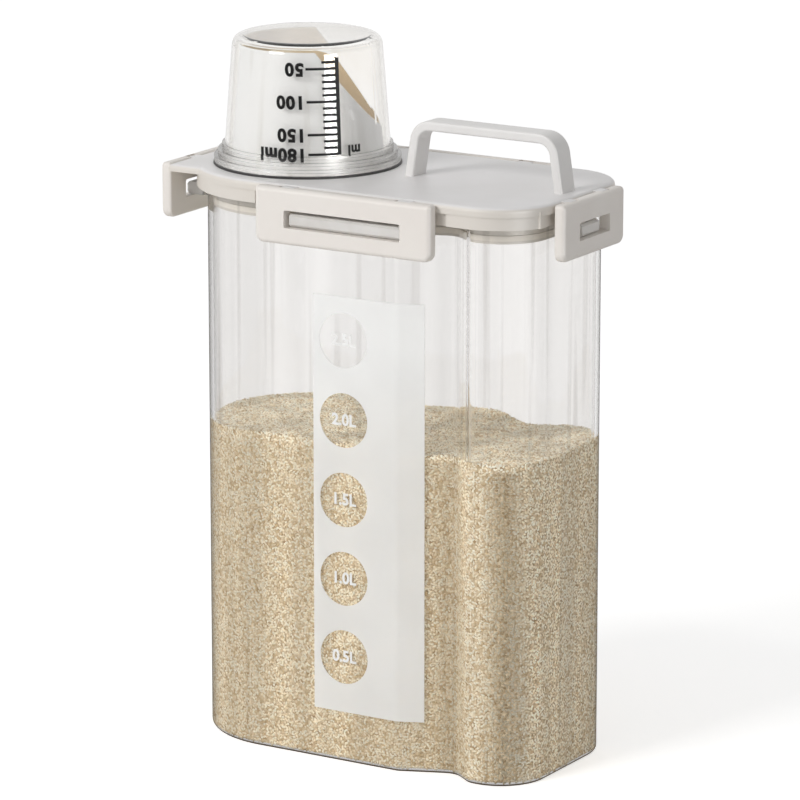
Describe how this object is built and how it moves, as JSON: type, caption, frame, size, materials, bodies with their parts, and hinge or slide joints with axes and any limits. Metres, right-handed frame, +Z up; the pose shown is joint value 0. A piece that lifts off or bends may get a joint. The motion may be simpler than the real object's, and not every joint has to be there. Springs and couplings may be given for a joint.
{
  "type": "pet food dispenser",
  "caption": "Clear pet food container with hand grips, a latched lid with a carrying handle and a slanted spout, a measuring cup over the spout, and a frosted label with round windows.",
  "frame": {"origin": "centre of the whole object's bounding box on the plane it stands on", "axes": "+Z up; +X from the pouring end with the cup towards the end with the hand grips; the label faces -Y"},
  "size_m": [0.2064, 0.1146, 0.3235],
  "materials": {
    "container_clear": "clear, polished",
    "label_film": "frosted film",
    "lid_plastic": "satin",
    "latch_plastic": "satin",
    "handle_plastic": "satin",
    "seal_rubber": "soft, matte",
    "cup_clear": "clear, polished"
  },
  "bodies": {
    "container": {"container": "container_clear", "volume_label": "label_film"},
    "lid": {"lid": "lid_plastic", "lid_gasket": "seal_rubber", "spout_seal": "seal_rubber", "carry_handle": "handle_plastic"},
    "front_latch": {"front_latch": "latch_plastic"},
    "rear_latch": {"rear_latch": "latch_plastic"},
    "left_latch": {"left_latch": "latch_plastic"},
    "right_latch": {"right_latch": "latch_plastic"},
    "cup": {"measuring_cup": "cup_clear"}
  },
  "joints": [
    {"name": "lid_lift", "type": "slide", "parent": "container", "child": "lid", "axis": [0, 0, 1], "range_m": [0, 0.12]},
    {"name": "cup_lift", "type": "slide", "parent": "lid", "child": "cup", "axis": [0, 0, 1], "range_m": [0, 0.08]},
    {"name": "front_latch_hinge", "type": "hinge", "parent": "lid", "child": "front_latch", "pos_m": [0.0076, -0.05295, 0.2624], "axis": [-1, 0, 0], "range_deg": [0, 95]},
    {"name": "rear_latch_hinge", "type": "hinge", "parent": "lid", "child": "rear_latch", "pos_m": [0.0076, 0.05295, 0.2624], "axis": [1, 0, 0], "range_deg": [0, 95]},
    {"name": "left_latch_hinge", "type": "hinge", "parent": "lid", "child": "left_latch", "pos_m": [-0.09895, 0, 0.2624], "axis": [0, 1, 0], "range_deg": [0, 95]},
    {"name": "right_latch_hinge", "type": "hinge", "parent": "lid", "child": "right_latch", "pos_m": [0.09895, 0, 0.2624], "axis": [0, -1, 0], "range_deg": [0, 95]}
  ]
}
